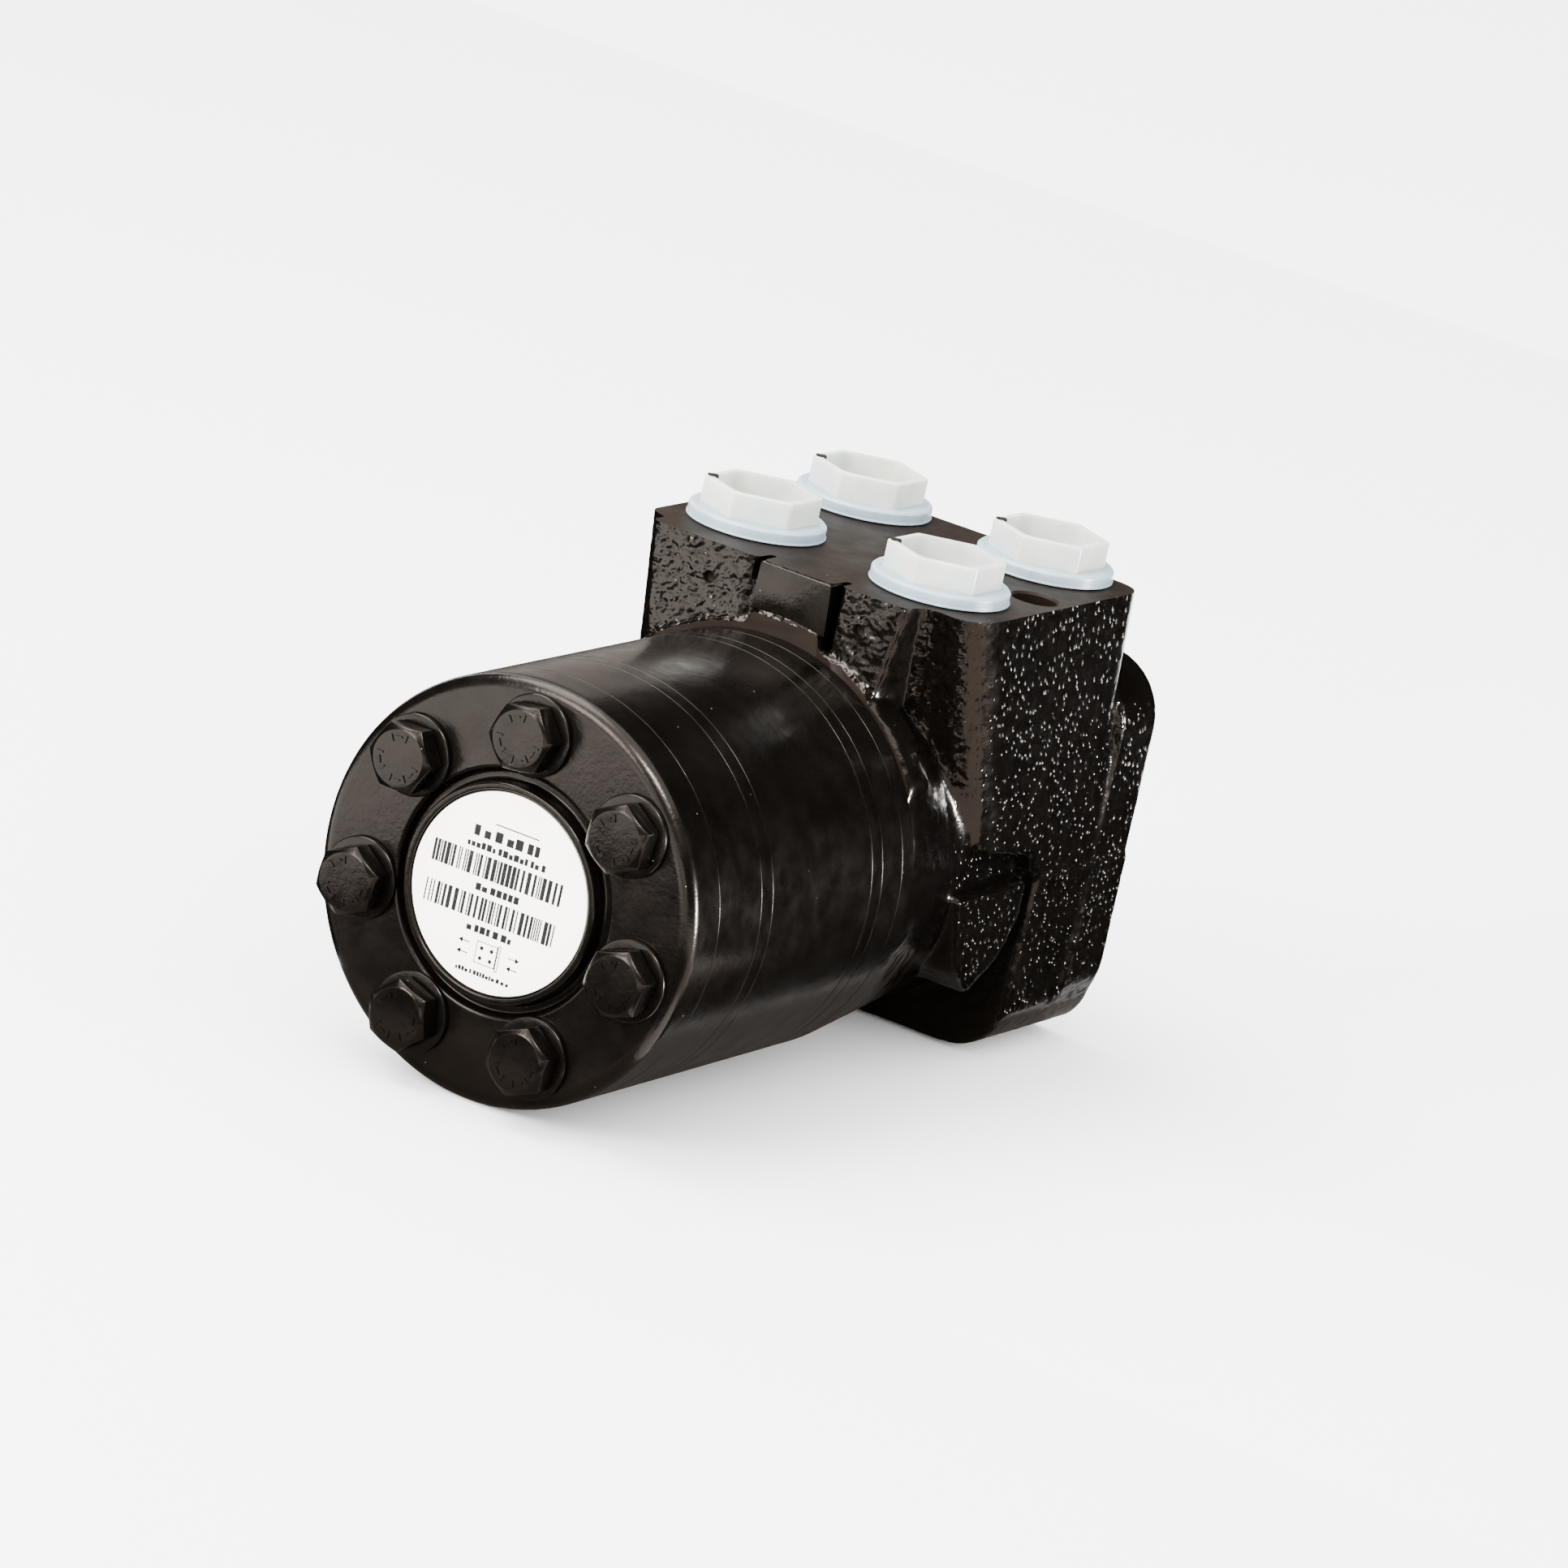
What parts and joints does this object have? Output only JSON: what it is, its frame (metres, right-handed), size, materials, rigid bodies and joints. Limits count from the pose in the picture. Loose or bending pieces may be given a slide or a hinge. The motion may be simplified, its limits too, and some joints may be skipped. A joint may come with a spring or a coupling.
{
  "type": "hydrostatic steering unit",
  "caption": "Orbital hydrostatic steering unit with two gear sets, a port block with plugs, and a splined socket for the steering column.",
  "frame": {"origin": "under the middle of the unit, on the surface it lies on", "axes": "+Y along the shaft from the end cover to the steering column face, +Z out of the port face"},
  "size_m": [0.0907, 0.1868, 0.1111],
  "materials": {
    "gloss_black_paint": "gloss black paint over turned and ground steel",
    "cast_black_paint": "gloss black paint over a sand-cast skin",
    "ground_steel": "ground and oiled",
    "hardened_steel": "hardened, dark",
    "plug_plastic": "natural translucent polyethylene",
    "label_film": "cream printed film",
    "seal_rubber": "moulded"
  },
  "bodies": {
    "casing": {"housing": "cast_black_paint", "end_cover": "gloss_black_paint", "name_plate": "label_film", "cover_screw_1": "gloss_black_paint", "cover_screw_2": "gloss_black_paint", "cover_screw_3": "gloss_black_paint", "cover_screw_4": "gloss_black_paint", "cover_screw_5": "gloss_black_paint", "cover_screw_6": "gloss_black_paint", "cover_screw_7": "gloss_black_paint", "cover_washer_1": "gloss_black_paint", "cover_washer_2": "gloss_black_paint", "cover_washer_3": "gloss_black_paint", "cover_washer_4": "gloss_black_paint", "cover_washer_5": "gloss_black_paint", "cover_washer_6": "gloss_black_paint", "cover_washer_7": "gloss_black_paint", "gear_rim_large": "gloss_black_paint", "front_channel_plate": "gloss_black_paint", "changeover_body": "gloss_black_paint", "rear_channel_plate": "gloss_black_paint", "gear_rim_small": "gloss_black_paint", "distributor_plate": "gloss_black_paint", "o_ring_1": "seal_rubber", "o_ring_2": "seal_rubber", "o_ring_3": "seal_rubber", "o_ring_4": "seal_rubber", "o_ring_5": "seal_rubber", "o_ring_6": "seal_rubber", "o_ring_7": "seal_rubber", "changeover_spring": "hardened_steel", "bearing_race_rear": "ground_steel", "shaft_seal": "seal_rubber", "dust_seal": "seal_rubber", "check_bushing": "ground_steel"},
    "valve": {"sleeve": "ground_steel", "cross_pin": "hardened_steel", "spring_leaf_upper": "hardened_steel", "spring_leaf_lower": "hardened_steel", "bearing_race_front": "ground_steel"},
    "spool": {"spool": "ground_steel"},
    "orbit": {"rotor_spacer": "hardened_steel"},
    "rotors": {"rotor_large": "ground_steel", "rotor_small": "ground_steel", "link_shaft": "hardened_steel"},
    "cardan": {"cardan_shaft": "hardened_steel"},
    "bearing": {"thrust_bearing": "hardened_steel"},
    "changeover": {"changeover_spool": "ground_steel"},
    "ball": {"check_ball": "hardened_steel"},
    "plug_left": {"port_plug_left": "plug_plastic"},
    "plug_right": {"port_plug_right": "plug_plastic"},
    "plug_pressure": {"port_plug_pressure": "plug_plastic"},
    "plug_tank": {"port_plug_tank": "plug_plastic"}
  },
  "joints": [
    {"name": "steering_turn", "type": "hinge", "parent": "casing", "child": "valve", "pos_m": [0, 0.0533, 0.044], "axis": [0, 1, 0], "continuous": true},
    {"name": "valve_deflection", "type": "hinge", "parent": "valve", "child": "spool", "pos_m": [0, 0.0533, 0.044], "axis": [0, 1, 0], "range_deg": [-8, 8], "stiffness_Nm_per_rad": 12},
    {"name": "rotor_orbit", "type": "hinge", "parent": "casing", "child": "orbit", "pos_m": [0, -0.00755, 0.044], "axis": [0, 1, 0], "continuous": true},
    {"name": "rotor_spin", "type": "hinge", "parent": "orbit", "child": "rotors", "pos_m": [0, -0.00755, 0.0415], "axis": [0, 1, 0], "continuous": true},
    {"name": "cardan_spin", "type": "hinge", "parent": "orbit", "child": "cardan", "pos_m": [0, -0.00755, 0.0415], "axis": [0, 0.9992, 0.0411], "continuous": true},
    {"name": "bearing_roll", "type": "hinge", "parent": "casing", "child": "bearing", "pos_m": [0, 0.0764, 0.044], "axis": [0, 1, 0], "continuous": true},
    {"name": "changeover_shift", "type": "slide", "parent": "casing", "child": "changeover", "axis": [0, 1, 0], "range_m": [0, 0.006], "stiffness_N_per_m": 1500},
    {"name": "check_ball_lift", "type": "slide", "parent": "casing", "child": "ball", "axis": [0, 0, 1], "range_m": [0, 0.0018]},
    {"name": "plug_left_lift", "type": "slide", "parent": "casing", "child": "plug_left", "axis": [0, 0, 1], "range_m": [0, 0.02]},
    {"name": "plug_right_lift", "type": "slide", "parent": "casing", "child": "plug_right", "axis": [0, 0, 1], "range_m": [0, 0.02]},
    {"name": "plug_pressure_lift", "type": "slide", "parent": "casing", "child": "plug_pressure", "axis": [0, 0, 1], "range_m": [0, 0.02]},
    {"name": "plug_tank_lift", "type": "slide", "parent": "casing", "child": "plug_tank", "axis": [0, 0, 1], "range_m": [0, 0.02]}
  ],
  "couplings": [
    {"joint": "rotor_orbit", "follows": "steering_turn", "ratio": -6},
    {"joint": "rotor_spin", "follows": "steering_turn", "ratio": 7},
    {"joint": "cardan_spin", "follows": "steering_turn", "ratio": 7},
    {"joint": "bearing_roll", "follows": "steering_turn", "ratio": 0.5}
  ]
}
